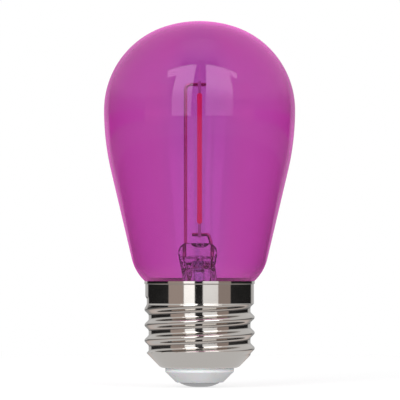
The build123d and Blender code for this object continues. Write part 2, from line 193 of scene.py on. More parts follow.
def lofted(name, rings, material, closed=False, crease=40, skin=False):
    """A smooth skin over rings of points. Closed pieces have their faces turned outwards."""
    shape = bmesh.new()
    loops = [[shape.verts.new([MM * value for value in point]) for point in ring] for ring in rings]
    sides = max(len(loop) for loop in loops)
    for near, far in zip(loops, loops[1:] + loops[:1] if closed else loops[1:]):
        for step in range(sides):
            after = (step + 1) % sides
            pairs = (near, step), (near, after), (far, after), (far, step)
            corners = [loop[index % len(loop)] for loop, index in pairs]
            shape.faces.new(dict.fromkeys(corners))
    if not skin:
        bmesh.ops.recalc_face_normals(shape, faces=shape.faces)
    mesh = bpy.data.meshes.new(name)
    shape.to_mesh(mesh)
    shape.free()
    mesh.materials.append(material)
    mesh.shade_smooth()
    mesh.set_sharp_from_angle(angle=radians(crease))
    return added(name, mesh)


def turned(name, section, material, closed=False, sides=160, skin=False):
    """A piece turned about the bulb's axis from points of radius and height. A skin is drawn upwards."""
    angles = [tau * step / sides for step in range(sides)]
    rings = []
    for radius, height in section:
        turns = angles if radius > 0 else angles[:1]
        rings.append([(radius * cos(angle), radius * sin(angle), height) for angle in turns])
    return lofted(name, rings, material, closed, skin=skin)


print("a section's unit is", MM, "m")


# %% [markdown]
# ## A pen for sections
# A blown or drawn piece has a section of runs and arcs that meet without a corner. Its points could be
# typed in, but then a new radius would move nothing else. A pen that knows its heading starts each arc
# where the last one ended. Moulded and stamped pieces have corners instead, each eased by a small radius,
# which the next function rounds. The last one divides a section where a tool will bend it later.

# %% Draw sections
class Pen:
    """Draws a section as radius and height, with runs and arcs that join without a corner."""

    def __init__(self, radius, height, heading):
        self.points = [(radius, height)]
        self.heading = heading

    def run(self, length, steps=1):
        radius, height = self.points[-1]
        angle = radians(self.heading)
        for step in range(1, steps + 1):
            part = length * step / steps
            self.points.append((radius + part * cos(angle), height + part * sin(angle)))

    def arc(self, bend, turn, steps):
        """An arc of a bend radius, to the left for a positive turn in degrees."""
        side = radians(90 if turn > 0 else -90)
        radius, height = self.points[-1]
        angle = radians(self.heading)
        centre = radius + bend * cos(angle + side), height + bend * sin(angle + side)
        for step in range(1, steps + 1):
            now = angle + radians(turn) * step / steps - side
            self.points.append((centre[0] + bend * cos(now), centre[1] + bend * sin(now)))
        self.heading += turn


def eased(corners, steps=6):
    """Section points from corners of radius, height and rounding."""
    points = []
    for index, (radius, height, ease) in enumerate(corners):
        here = Vector((radius, height))
        if not ease:
            points.append(tuple(here))
            continue
        before = (Vector(corners[index - 1][:2]) - here).normalized()
        after = (Vector(corners[(index + 1) % len(corners)][:2]) - here).normalized()
        half = before.angle(after) / 2
        centre = here + (before + after).normalized() * (ease / sin(half))
        start = here + before * (ease / tan(half)) - centre
        end = here + after * (ease / tan(half)) - centre
        points += [tuple(centre + start.slerp(end, step / steps) * ease) for step in range(steps + 1)]
    return points


def spaced(section, gap):
    """The same section with points no further apart than a gap."""
    points = [section[0]]
    for (radius, height), (next_radius, next_height) in zip(section, section[1:]):
        pieces = ceil(hypot(next_radius - radius, next_height - height) / gap)
        for step in range(1, pieces + 1):
            part = step / pieces
            points.append((radius + (next_radius - radius) * part, height + (next_height - height) * part))
    return points


print("an eased corner has", len(eased([(0, 0, 0), (2, 0, 1), (2, 2, 0)])) - 2, "points")


# %% [markdown]
# ## Places in the frame
# Each visible piece goes where its solid is. Its main sizes are read from the solid's box, so a piece still
# fits when the frame changes. The finished piece then takes the solid's place and rides on the bulb's one
# body.

# %% Put pieces in the frame
def span(node):
    """Lowest and highest corner of a solid in the frame, in millimetres."""
    low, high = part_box(node)
    return Vector(low) / MM, Vector(high) / MM


def settle(piece, slot, *nodes):
    """Fixes a finished piece to the bulb, in place of the solids that it refines."""
    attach(piece, "root")
    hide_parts(*nodes)
    print(piece.name, "has", len(piece.data.polygons), "faces")


glass_low, glass_high = span("glass_envelope")
shell_low, shell_high = span("screw_shell")
print("the glass reaches up to", round(glass_high.z, 1), "mm and the shell to", round(shell_high.z, 1), "mm")

# %% [markdown]
# ## The purple glass
# The colour of this bulb is in the glass itself, so the wall darkens where it is seen edge on, and only its
# very rim is a pale pink. A tinted surface alone would be the same all over. So the surface has a light
# tint, a dye inside the wall gives the depth, and a pink sheen lights the rim. Blown glass is never quite
# even, so a broad and very shallow relief lets the reflections waver a little.

# %% Mix the purple glass
purple_glass = finish(
    "purple_glass",
    Base_Color=(0.745, 0.6, 0.725, 1),
    Roughness=0.0,
    IOR=1.5,
    Transmission_Weight=1.0,
    Sheen_Weight=0.9,
    Sheen_Roughness=0.5,
    Sheen_Tint=(0.96, 0.08, 0.66, 1),
)
purple_tree = purple_glass.node_tree
dye_strength = {"Color": (0.94, 0.0, 0.84, 1), "Density": 1115.0}
dye = Signal(purple_tree).node("ShaderNodeVolumeAbsorption", None, dye_strength)
purple_tree.links.new(dye.socket, purple_tree.nodes["Material Output"].inputs["Volume"])
waver = grain(purple_glass, 45.0, detail=1.0)
relief(purple_glass, waver, depth=0.0001, strength=0.3)
print("purple glass has", len(purple_tree.nodes), "nodes")

# %% [markdown]
# ## The envelope
# A mould gives the outside its shape: a flat crown, a round shoulder, a long taper and a tight turn into
# the neck. The section is drawn with tangent arcs. The same arcs, moved in by the wall, draw the inside,
# and the two meet at the neck's cut edge, so the wall is one closed skin that light can enter and leave.

# %% Blow the envelope
bulb_radius = glass_high.x
crown_level = glass_high.z
seal_level = glass_low.z
rim_level = shell_high.z
rim_radius = shell_high.x
glass_wall = 0.7
shoulder_offset = 1.8
crown_extra = 6.0
belly_bend = 61.94
lower_bend = 10.6
neck_bend = 2.5
neck_radius = span("glass_stem")[1].x
seat_angle = radians(47)
seat_inset = 0.4
seat_radius = rim_radius - seat_inset


def envelope_section(inset):
    """One side of the glass wall, from the crown to the neck's edge."""
    shoulder_bend = bulb_radius - shoulder_offset
    crown_bend = shoulder_bend + crown_extra
    crown_turn = degrees(asin(shoulder_offset / crown_extra))
    belly_level = crown_level - crown_bend + crown_extra * cos(radians(crown_turn))
    lower_radius = seat_radius - lower_bend * cos(seat_angle)
    lower_centre = Vector((lower_radius, rim_level + lower_bend * sin(seat_angle)))
    between = lower_centre - Vector((bulb_radius - belly_bend, belly_level))
    drop = belly_bend - lower_bend
    taper = degrees(atan2(-between.y, between.x) - acos(drop / between.length))
    steepest = degrees(acos((neck_radius + neck_bend - lower_centre.x) / (lower_bend + neck_bend)))
    pen = Pen(0, crown_level - inset, 0)
    pen.arc(crown_bend - inset, -crown_turn, steps=14)
    pen.arc(shoulder_bend - inset, crown_turn - 90, steps=34)
    pen.arc(belly_bend - inset, -taper, steps=14)
    pen.run(sqrt(between.length**2 - drop**2), steps=10)
    pen.arc(lower_bend - inset, taper - steepest, steps=22)
    pen.arc(neck_bend + inset, steepest, steps=12)
    pen.run(pen.points[-1][1] - seal_level, steps=4)
    return pen.points


wall = envelope_section(0) + envelope_section(glass_wall)[::-1]
settle(turned("envelope", wall, purple_glass, sides=192), "purple_glass", "glass_envelope")

# %% [markdown]
# ## Bright nickel
# The shell is rolled sheet with a bright plating. It mirrors the studio, so its looks come from the lights
# around it and from how even the plating is. The roughness varies a little, and faint lines run round it,
# left by the rollers.

# %% Plate the shell
nickel_plate = finish("nickel_plate", Base_Color=(0.72, 0.685, 0.65, 1), Metallic=1.0, Roughness=0.08)
polish, spread = 0.04, 0.07
feed(nickel_plate, "Roughness", grain(nickel_plate, 260.0) * spread + polish)
rolled_lines = grain(nickel_plate, 900.0, detail=4.0, stretch=(0.12, 0.12, 4.0))
relief(nickel_plate, rolled_lines, depth=0.000006, strength=0.35)
print("nickel plate has a roughness from", polish, "to", round(polish + spread, 2))

# %% [markdown]
# ## Trees that make pieces
# Geometry Nodes suit a piece that follows a rule, because the rule's sizes stay as named inputs. These two
# helpers start a tree with its inputs and end it in plain geometry. The third runs it and keeps the result
# as a mesh.

# %% Start and end a tree
def start_tree(name, sizes):
    """A Geometry Nodes tree with one input for each size, and those inputs by name."""
    kinds = {float: "NodeSocketFloat", int: "NodeSocketInt", bpy.types.Material: "NodeSocketMaterial"}
    tree = bpy.data.node_groups.new(name, "GeometryNodeTree")
    tree.interface.new_socket("Geometry", in_out="INPUT", socket_type="NodeSocketGeometry")
    tree.interface.new_socket("Geometry", in_out="OUTPUT", socket_type="NodeSocketGeometry")
    for label, value in sizes.items():
        tree.interface.new_socket(label, in_out="INPUT", socket_type=kinds[type(value)])
    entry = tree.nodes.new("NodeGroupInput")
    return {socket.name: Signal(tree, socket) for socket in entry.outputs if socket.name}


def end_tree(geometry, material):
    """Ends the tree in real geometry that has its finish."""
    real = geometry.node("GeometryNodeRealizeInstances", None, {0: geometry})
    done = geometry.node("GeometryNodeSetMaterial", None, {"Geometry": real, "Material": material})
    leave = geometry.tree.nodes.new("NodeGroupOutput")
    geometry.tree.links.new(done.socket, leave.inputs[0])
    print("the tree", geometry.tree.name, "has", len(geometry.tree.nodes), "nodes")
    return geometry.tree


def grown(name, tree, sizes, start, sheet=0.0, crease=40):
    """Runs a tree on an object, gives the result a sheet's thickness if asked, and keeps the plain mesh."""
    rule = start.modifiers.new(tree.name, "NODES")
    rule.node_group = tree
    for item in tree.interface.items_tree:
        if item.in_out == "INPUT" and item.name in sizes:
            rule[item.identifier] = sizes[item.name]
    if sheet:
        wall = start.modifiers.new("sheet", "SOLIDIFY")
        wall.thickness = sheet
        wall.use_even_offset = True
    graph = bpy.context.evaluated_depsgraph_get()
    mesh = bpy.data.meshes.new_from_object(start.evaluated_get(graph), depsgraph=graph)
    bpy.data.objects.remove(start)
    mesh.name = name
    mesh.shade_smooth()
    mesh.set_sharp_from_angle(angle=radians(crease))
    return added(name, mesh)


print("trees so far:", len(bpy.data.node_groups))


# %% [markdown]
# ## The rolled thread
# The maker first draws a smooth cup from sheet: lip, cone, straight side and flared rim. Then rollers press
# a groove into it along a right-hand helix, and the groove dies out where the rollers lift. The tree does
# the same to a turned cup. For each point it finds the nearest turn of the groove, and how far off its
# middle the point is. A cut thread would have flat crests. Rolling leaves rounded ones, and a smooth step
# between root and crest gives that.

# %% Write the rolling rule
rim_proud = 0.3
cone_height = 4.05
thread_length = 11.2
lift_turn = 65 / 360
crest_radius = rim_radius - rim_proud
cone_top = shell_low.z + cone_height
thread_top = cone_top + thread_length
inch = 25.4
turns_an_inch = 7
thread_pitch = inch / turns_an_inch
roll_sizes = {
    "Crest Radius": crest_radius * MM,
    "Groove Depth": 1.0 * MM,
    "Pitch": thread_pitch * MM,
    "Start Level": cone_top * MM,
    "Start Angle": radians(123),
    "Root Land": 0.85 * MM,
    "Lift Level": thread_top * MM,
    "Lift Rise": thread_pitch * lift_turn * MM,
    "Softness": 0.15 * MM,
    "Finish": nickel_plate,
}
rolling = start_tree("rolled_thread", roll_sizes)
pitch = rolling["Pitch"]
x, y, z = pitch.node("GeometryNodeInputPosition").axes()
radius = (x * x + y * y) ** 0.5
turns = (z - rolling["Start Level"]) / pitch - (y.maths("ARCTAN2", x) - rolling["Start Angle"]) / tau
off_middle = (turns - turns.maths("ROUND")) * pitch
groove_level = z - off_middle
pressed = 1 - groove_level.rise(rolling["Lift Level"], rolling["Lift Level"] + rolling["Lift Rise"])
groove = 1 - off_middle.maths("ABSOLUTE").rise(rolling["Root Land"] / 2, pitch / 2)
thread_radius = rolling["Crest Radius"] - rolling["Groove Depth"] * pressed * groove
squeeze = radius.maths("SMOOTH_MIN", thread_radius, rolling["Softness"]) / radius
moved = z.node("ShaderNodeCombineXYZ", None, {"X": x * squeeze, "Y": y * squeeze, "Z": z})
cup_skin = z.node("GeometryNodeSetPosition", None, {"Geometry": rolling["Geometry"], "Position": moved})
rolled_thread = end_tree(cup_skin, rolling["Finish"])

# %% [markdown]
# ## The drawn cup
# The cup has a lip that turns in under the cone, a straight side, a collar that is a little narrower than
# the crests, and a small step under the flared rim that the glass sits in. It is turned as a thin skin with
# points close enough for the groove. The sheet's thickness comes last, so the wall is even in the thread
# too.

# %% Roll the shell
shell_sheet = 0.3
point_gap = 0.14
collar_step = 0.2
cone_run = 3.9
lip_width = 1.6
rim_lean = 0.08
collar_radius = crest_radius - collar_step
cone_foot = crest_radius - cone_run
lip_level = shell_low.z
crest_end, collar_foot = thread_top - 0.5, thread_top - 0.15
step_foot, step_top = rim_level - 0.66, rim_level - 0.54
cup = eased(
    [
        (cone_foot - lip_width, lip_level, 0),
        (cone_foot, lip_level, 1.8),
        (crest_radius, cone_top, 0.5),
        (crest_radius, crest_end, 0.2),
        (collar_radius, collar_foot, 0.2),
        (collar_radius, step_foot, 0.06),
        (rim_radius - rim_lean, step_top, 0.08),
        (rim_radius, rim_level, 0),
    ]
)
blank = turned("cup", spaced(cup, point_gap), nickel_plate, sides=216, skin=True)
shell = grown("rolled_shell", rolled_thread, roll_sizes, blank, sheet=shell_sheet * MM)
settle(shell, "nickel_plate", "screw_shell")

# %% [markdown]
# ## The insulator
# Under the shell sits a white moulded plug that grips the shell's lip between two flanges. Its foot tapers
# to the contact, and its boss holds the contact's shank. It is turned from a section with eased corners.
# Its finish has a cloudy mottle and the fine skin of a mould.

# %% Mould the insulator
white_insulator = finish(
    "white_insulator",
    Base_Color=(0.88, 0.885, 0.9, 1),
    Roughness=0.3,
    Subsurface_Weight=0.15,
    Subsurface_Scale=0.002,
)
mottle = grain(white_insulator, 420.0)
feed(white_insulator, "Base Color", mottle.between((0.84, 0.845, 0.86, 1), (0.92, 0.92, 0.93, 1)))
feed(white_insulator, "Roughness", mottle * 0.15 + 0.22)
relief(white_insulator, grain(white_insulator, 2500.0), depth=0.00001, strength=0.5)

plug_low, plug_high = span("base_insulator")
shank_radius = 1.2
shank_clearance = 0.05
bore_radius = shank_radius + shank_clearance
foot_radius = 5.5
skirt_radius = 8.075
waist_radius = 7.425
boss_radius = 2.5
skirt_level = lip_level - 0.9
lip_top = lip_level + shell_sheet
flange_top = lip_level + 1.5
plug = eased(
    [
        (bore_radius, plug_low.z, 0),
        (foot_radius, plug_low.z, 0.3),
        (skirt_radius, skirt_level, 0.4),
        (skirt_radius, lip_level, 0.15),
        (waist_radius, lip_level, 0),
        (waist_radius, lip_top, 0),
        (plug_high.x, lip_top, 0.1),
        (plug_high.x, flange_top, 0.2),
        (boss_radius, flange_top, 0.3),
        (boss_radius, plug_high.z, 0.3),
        (bore_radius, plug_high.z, 0),
    ]
)
settle(turned("plug", plug, white_insulator, closed=True), "white_insulator", "base_insulator")

# %% [markdown]
# ## The contact
# The contact is a tinned button with a shank. A punch domed it, which left fine rings, so its relief is
# noise on the distance from the bulb's axis alone. The dome is one arc from a small flat to the edge.

# %% Stamp the contact
tinned_contact = finish("tinned_contact", Base_Color=(0.66, 0.66, 0.67, 1), Metallic=1.0, Roughness=0.35)
start = Signal(tinned_contact.node_tree)
x, y = start.node("ShaderNodeTexCoord").out("Object").axes()[:2]
ring_values = {"W": (x**2 + y**2) ** 0.5, "Scale": 5000.0}
punch_rings = start.node("ShaderNodeTexNoise", {"noise_dimensions": "1D"}, ring_values)
tin_patches = grain(tinned_contact, 700.0)
feed(tinned_contact, "Base Color", tin_patches.between((0.5, 0.5, 0.51, 1), (0.6, 0.6, 0.61, 1)))
feed(tinned_contact, "Roughness", tin_patches * 0.2 + 0.28)
relief(tinned_contact, punch_rings, depth=0.00001, strength=0.5)

contact_high = span("center_contact")[1]
button_radius = contact_high.x
button_top = 1.05
flat_radius = 1.2
dome_rise = 0.9
dome_run = button_radius - flat_radius
dome_bend = (dome_run**2 + dome_rise**2) / (2 * dome_rise)
pen = Pen(0, 0, 0)
pen.run(flat_radius, steps=3)
pen.arc(dome_bend, degrees(asin(dome_run / dome_bend)), steps=16)
button = pen.points + eased(
    [
        (button_radius, dome_rise, 0),
        (button_radius, button_top, 0.06),
        (shank_radius, button_top, 0),
        (shank_radius, contact_high.z, 0.2),
        (0, contact_high.z, 0),
    ]
)[1:]
settle(turned("button", button, tinned_contact, sides=120), "tinned_contact", "center_contact")

# %% [markdown]
# ## Stem glass
# The stem is clear, and it is seen through the purple. Its edges turn the light far aside and look dark and
# reddish on the real bulb. That shade is painted into the glass's colour, which turns dark red where the
# glass is seen edge on. Face on, a faint cool tint lifts it towards lilac, a painted stand-in for the
# reflections on the real press.

# %% Mix the stem glass
stem_glass = finish(
    "stem_glass", Base_Color=(0.97, 0.97, 0.97, 1), Roughness=0.0, IOR=1.5, Transmission_Weight=1.0
)
painted_edge_shade = Signal(stem_glass.node_tree).node("ShaderNodeLayerWeight", None, {"Blend": 0.5}).out("Facing")
# Painted shade: the colour turns dark red towards the edges, for the dark refraction there. Painted
# reflection: a faint cool tint face on.
feed(stem_glass, "Base Color", (painted_edge_shade**3.0).between((0.87, 1.0, 0.97, 1), (0.34, 0.1, 0.27, 1)))
print("stem glass has", len(stem_glass.node_tree.nodes), "nodes")

# %% [markdown]
# ## The clear stem
# A flared tube is melted into the neck. Its top was pinched flat round the lead wires while it was soft,
# which is the press. The jaws left marks across it, the glass folded between them, and the crown sank
# between the leads. Rings suit it: circles up the tube, then ovals that widen across the leads. Their depth
# goes in and out with the jaws' marks, and small folds run round them.

# %% Shape the press
press_top = span("glass_stem")[1].z
press_base = press_top - 5.8
tube_top = press_base - 2.6
tube_radius = 4.05
tube_wall = 0.8
flare = 5.0
socket_radius = 1.62
press_offset = 0.45
fold_count = 11
fold_start = 0.6
# Each row is a level, half the width, half the depth, the shift of its middle, its fullness and its folds
press_rows = [
    # Tube and the folds above it
    (tube_top, tube_radius, tube_radius, 0.0, 2.0, 0.012),
    (press_base - 1.2, 3.95, 3.75, -0.2, 2.0, 0.03),
    # Marks of the jaws
    (press_base - 0.2, 3.9, 2.7, -0.35, 2.1, 0.06),
    (press_base + 0.5, 3.95, 3.1, -press_offset, 2.1, 0.05),
    (press_base + 1.3, 4.1, 2.25, -press_offset, 2.2, 0.06),
    (press_base + 2.0, 4.3, 2.8, -press_offset, 2.3, 0.03),
    (press_base + 2.7, 4.5, 2.25, -press_offset, 2.35, 0.01),
    # Smooth shoulder and crown
    (press_base + 3.6, 4.65, 2.35, -press_offset, 2.4, 0.0),
    (press_base + 4.8, 4.3, 2.25, -press_offset, 2.3, 0.0),
    (press_top - 0.25, 3.5, 2.0, -press_offset, 2.2, 0.0),
    (press_top, 2.9, 1.75, -press_offset, 2.0, 0.0),
    # Dish in the crown
    (press_top - 0.2, 2.35, 1.45, -0.1, 2.0, 0.0),
    (press_top - 0.6, 1.95, 0.95, 0.05, 2.0, 0.0),
    (press_top - 0.95, 1.5, 0.5, 0.1, 2.0, 0.0),
    (press_top - 1.15, 0.8, 0.2, 0.1, 2.0, 0.0),
]
dish_foot = (0.1, 0, press_top - 1.2)


def oval(level, half_width, half_depth, shift=0.0, fullness=2.0, fold=0.0, sides=96):
    """A ring from an ellipse to a rounded bar as its fullness grows, with folds round it if asked."""
    points = []
    for step in range(sides):
        angle = tau * step / sides
        across, along = cos(angle), sin(angle)
        reach = (abs(across) ** fullness + abs(along) ** fullness) ** (-1 / fullness)
        reach *= 1 + fold * sin(fold_count * angle + fold_start)
        points.append((shift + half_width * reach * across, half_depth * reach * along, level))
    return points


print("the press is", round(press_top - press_base, 1), "mm tall and has", len(press_rows), "rows")


# %% Melt the stem
def through(rows, steps):
    """Rows of values on a smooth curve through the given rows."""
    ends = [rows[0], *rows, rows[-1]]
    smooth = []
    for four in zip(ends, ends[1:], ends[2:], ends[3:]):
        for step in range(steps):
            t = step / steps
            row = []
            for a, b, c, d in zip(*four):
                bend = (2 * a - 5 * b + 4 * c - d) + t * (3 * b - a - 3 * c + d)
                row.append(b + t * ((c - a) + t * bend) / 2)
            smooth.append(row)
    return smooth + [rows[-1]]


def stem_rings():
    """Rings from the hollow's closed top, down to the flange, and up the outside to the press's crown."""
    duct = [(0.5, press_base + 2.85), (0.9, press_base + 2.5), (1.1, press_base + 1.9)]
    socket = [(socket_radius, press_base + 1.75), (socket_radius, tube_top + 2.7)]
    funnel = [(1.9, tube_top + 2.5), (2.3, tube_top + 2.0), (2.7, tube_top + 1.3), (3.05, tube_top + 0.4)]
    throat = Pen(tube_radius - tube_wall, seal_level + flare, -90)
    throat.arc(flare + tube_wall, 90, steps=12)
    flange = Pen(neck_radius, seal_level, 180)
    flange.run(neck_radius - tube_radius - flare)
    flange.arc(flare, -90, steps=14)
    flange_edge = [(neck_radius, seal_level - tube_wall)]
    section = duct + socket + funnel + throat.points + flange_edge + flange.points
    rings = [[(0, 0, press_base + 2.95)]]
    rings += [oval(level, radius, radius) for radius, level in section]
    rings += [oval(*row) for row in through(press_rows, steps=8)]
    return rings + [[dish_foot]]


settle(lofted("stem", stem_rings(), stem_glass, crease=60), "stem_glass", "glass_stem")

# %% [markdown]
# ## The filling tube
# A thin tube stands in the stem's hollow. The bulb was emptied and filled through it, and then its foot was
# melted shut. It is round, so it is turned: down to the closed tip on the outside, and back in the bore.

# %% Draw the filling tube
tip = seal_level - 3.0
tip_taper = 2.0
tip_wall = 1.2
tube_outer = 1.6
tube_bore = 0.9
socket_top = press_base + 1.7
exhaust = eased(
    [
        (0, tip, 0),
        (tube_bore, tip, 0.5),
        (tube_outer, tip + tip_taper, 1.0),
        (tube_outer, socket_top, 0),
        (tube_bore, socket_top, 0),
        (tube_bore, tip + tip_taper, 1.0),
        (0, tip + tip_wall, 0),
    ]
)
settle(turned("filling_tube", exhaust, stem_glass, sides=64), "stem_glass", "exhaust_tube")

# %% [markdown]
# ## Lead wires
# Two stiff wires stand in the press, and each is bent over an end of the filament. They have a reddish
# tarnish from the heat of the press. A wire follows a path, so one tree makes them all: it rounds the
# path's corners as a bending pin does, and sweeps a circle along it.

# %% Write the wire rule
lead_metal = finish("lead_metal", Base_Color=(0.6, 0.4, 0.38, 1), Metallic=1.0, Roughness=0.12)
tarnish = grain(lead_metal, 1500.0, detail=4.0)
feed(lead_metal, "Base Color", tarnish.between((0.82, 0.4, 0.52, 1), (0.98, 0.52, 0.66, 1)))
feed(lead_metal, "Roughness", tarnish * 0.08 + 0.14)
wire_sizes = {"Diameter": 0.8 * MM, "Bend Radius": 1.2 * MM, "Bend Steps": 10, "Finish": lead_metal}
bending = start_tree("bent_wire", wire_sizes)
corner_values = {
    "Curve": bending["Geometry"],
    "Count": bending["Bend Steps"],
    "Radius": bending["Bend Radius"],
    "Limit Radius": True,
}
bend = bending["Geometry"].node("GeometryNodeFilletCurve", {"mode": "POLY"}, corner_values)
circle_values = {"Resolution": 20, "Radius": bending["Diameter"] / 2}
circle = bend.node("GeometryNodeCurvePrimitiveCircle", None, circle_values)
sweep_values = {"Curve": bend, "Profile Curve": circle, "Fill Caps": True}
swept = bend.node("GeometryNodeCurveToMesh", None, sweep_values)
bent_wire = end_tree(swept, bending["Finish"])


def wire(name, node, points, diameter, bend_radius, metal=lead_metal):
    """A wire along straight runs, in place of the solid it refines."""
    path = bpy.data.curves.new(name, "CURVE")
    path.dimensions = "3D"
    spline = path.splines.new("POLY")
    spline.points.add(len(points) - 1)
    for target, point in zip(spline.points, points):
        target.co = (*[MM * value for value in point], 1)
    sizes = wire_sizes | {"Diameter": diameter * MM, "Bend Radius": bend_radius * MM, "Finish": metal}
    settle(grown(name, bent_wire, sizes, added(name, path)), "lead_metal", node)


# %% Bend the leads
lead_diameter = 0.8
tall_x, tall_arm_end = -3.3, 1.6
short_x, short_shoulder, short_arm_end = 2.7, 2.1, -1.8
tall_arm_level = span("tall_lead_wire")[1].z - lead_diameter / 2
short_arm_level = span("short_lead_wire")[1].z - lead_diameter / 2
lead_foot = press_top - 3.6
tall_path = [(tall_x, 0, lead_foot), (tall_x, 0, tall_arm_level), (tall_arm_end, 0, tall_arm_level)]
wire("tall_lead", "tall_lead_wire", tall_path, lead_diameter, bend_radius=1.2)
short_path = [(short_x, 0, lead_foot), (short_x, 0, press_top)]
short_path += [(short_shoulder, 0, short_arm_level), (short_arm_end, 0, short_arm_level)]
wire("short_lead", "short_lead_wire", short_path, lead_diameter, bend_radius=0.6)

# %% [markdown]
# ## Thin leads
# Thin wires go on from the leads' feet, down the stem and out to the board. They are copper that the
# press's heat has browned. The same tree bends them, with a finish of their own.

# %% Lead the thin wires to the board
copper = finish("browned_copper", Base_Color=(0.3, 0.09, 0.1, 1), Metallic=1.0, Roughness=0.4)
browning = grain(copper, 1800.0)
feed(copper, "Base Color", browning.between((0.16, 0.04, 0.06, 1), (0.36, 0.1, 0.12, 1)))
feed(copper, "Roughness", browning * 0.2 + 0.3)
board_low, board_high = span("driver_board")
thin_diameter = 0.5
foot_run = 0.5
hollow_x = 2.45
hollow_level = press_base - 1.3
pad_inset = 2.45
pad_length = 3.0
pad_gap = 0.02
solder_x = board_high.x - pad_inset
solder_y = board_low.y - (thin_diameter / 2 + pad_gap)
for side, lead_x, name in ((-1, -tall_x, "left"), (1, short_x, "right")):
    path = [(side * lead_x, 0, lead_foot), (side * lead_x, 0, lead_foot - foot_run)]
    path += [(side * hollow_x, 0, hollow_level), (side * hollow_x, 0, seal_level + tube_wall)]
    path += [(side * solder_x, solder_y, level) for level in (board_high.z, board_high.z - pad_length)]
    wire("thin_lead_" + name, "outer_lead_" + name, path, thin_diameter, bend_radius=0.4, metal=copper)

# %% [markdown]
# ## The filament
# The strip of LED chips is coated with soft silicone that holds the phosphor. The coat swells a little over
# each chip and at its two dipped ends, so it is a skin over rounded rings that follow that rule. The
# phosphor is matte and red behind this glass, with fine grains in it. A faint emission is painted light:
# the filament is not lit, but the coat glows a little so that it looks bright enough behind the glass.

# %% Mix the phosphor
# Painted light: the emission makes the unlit coat glow a little, so that it looks brighter behind the purple
# glass.
phosphor = finish(
    "phosphor",
    Base_Color=(1.0, 0.12, 0.2, 1),
    Roughness=0.5,
    Emission_Color=(1.0, 0.06, 0.18, 1),
    Emission_Strength=0.29,
)
grains = grain(phosphor, 5200.0, detail=2.0)
feed(phosphor, "Base Color", grains.between((0.96, 0.09, 0.16, 1), (1.0, 0.16, 0.24, 1)))
relief(phosphor, grains, depth=0.00002, strength=0.4)
print("the phosphor has", len(phosphor.node_tree.nodes), "nodes")

# %% Coat the filament
coat_low, coat_high = span("phosphor_coat")
coat_middle_y = (coat_low.y + coat_high.y) / 2
coat_half = 0.56
coat_flatness = 0.92
coat_fullness = 3.2
coat_tip = 0.6
dipped_length = 2.6
dipped_swell = 0.045
chip_swell = 0.008
chip_count = 28
chip_pitch = (coat_high.z - coat_low.z - 2 * coat_tip) / chip_count


def coat_rings(steps=220):
    """Rings up the coat, rounded at both ends, with a slight swelling over each chip."""
    length = coat_high.z - coat_low.z
    rings = [[(0, coat_middle_y, coat_low.z)]]
    for step in range(1, steps):
        level = length * step / steps
        from_end = min(level, length - level)
        tip_round = sqrt(1 - (1 - min(from_end / coat_tip, 1)) ** 2)
        dipped = 1 - min(from_end / dipped_length, 1) ** 2
        ripple = cos(tau * (level - coat_tip) / chip_pitch)
        half = (coat_half + dipped_swell * dipped - chip_swell * ripple) * tip_round
        ring = oval(coat_low.z + level, half, half * coat_flatness, fullness=coat_fullness, sides=32)
        rings.append([(across, along + coat_middle_y, up) for across, along, up in ring])
    return rings + [[(0, coat_middle_y, coat_high.z)]]


settle(lofted("coat", coat_rings(), phosphor, crease=80), "phosphor", "phosphor_coat")

# %% [markdown]
# ## Finishes of the pieces that keep their solids
# Strip, tabs and chips are buried in the coat or as small as a pin head, and the driver is out of sight in
# the base. Their solids are already what they need to be, so they only get finishes. Each has its own
# grain, because anyone who opens the model sees them.

# %% Finish what is inside
def inner_finish(name, dark, light, scale, roughness, metallic=0.0):
    """A finish that is mottled between two colours, with a relief of the same grain."""
    material = finish(name, Base_Color=light, Metallic=metallic, Roughness=roughness)
    pattern = grain(material, scale)
    feed(material, "Base Color", pattern.between(dark, light))
    feed(material, "Roughness", pattern * 0.2 + (roughness - 0.1))
    relief(material, pattern, depth=0.00002, strength=0.3)
    return material


ceramic = inner_finish("filament_ceramic", (0.72, 0.72, 0.7, 1), (0.86, 0.86, 0.84, 1), 2000.0, 0.6)
led_die = inner_finish("led_die", (0.2, 0.28, 0.36, 1), (0.4, 0.5, 0.6, 1), 3000.0, 0.2)
cement = inner_finish("cement", (0.5, 0.46, 0.39, 1), (0.62, 0.57, 0.49, 1), 900.0, 0.8)
laminate = inner_finish("board_laminate", (0.7, 0.73, 0.69, 1), (0.82, 0.84, 0.8, 1), 1500.0, 0.45)
sleeve = inner_finish("capacitor_sleeve", (0.02, 0.025, 0.045, 1), (0.05, 0.06, 0.09, 1), 300.0, 0.35)
fuse_sleeve = inner_finish("fuse_sleeve", (0.08, 0.24, 0.11, 1), (0.14, 0.36, 0.18, 1), 500.0, 0.4)
solder = inner_finish("solder", (0.6, 0.61, 0.62, 1), (0.78, 0.79, 0.8, 1), 900.0, 0.3, metallic=1.0)
black_mould = inner_finish("black_mould", (0.02, 0.02, 0.022, 1), (0.045, 0.045, 0.05, 1), 2500.0, 0.55)
tab_silver = inner_finish("tab_silver", (0.78, 0.72, 0.74, 1), (0.95, 0.92, 0.93, 1), 1800.0, 0.4)
finished = [
    (ceramic, "filament_substrate"),
    (led_die, "led_chips"),
    (cement, "basing_cement"),
    (laminate, "driver_board"),
    (sleeve, "smoothing_capacitor"),
    (fuse_sleeve, "fuse_resistor"),
    (solder, "solder_joints"),
    (black_mould, "bridge_rectifier", "driver_chip", "chip_resistors"),
    (lead_metal, "capacitor_legs", "fuse_leads", "shell_wire"),
    (tab_silver, "filament_lower_tab", "filament_upper_tab"),
]
for material, *names in finished:
    for name in names:
        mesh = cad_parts[name].data
        mesh.materials.clear()
        mesh.materials.append(material)
print("finishes inside the bulb:", len(finished))

# %% [markdown]
# ## The studio
# Bright metal and glass show what stands round them. Two tall soft panels with wider tops stand in front,
# with a dark gap between them. Grey walls, a low light in the room, a ceiling, a table and a backdrop are
# round the rest, and black flags at the sides leave the dark bands of the collar. All this is written into
# the world as bands of direction. Lamps could make the panels too, but they would also light the floor and
# the insulator, which need to stay calm.

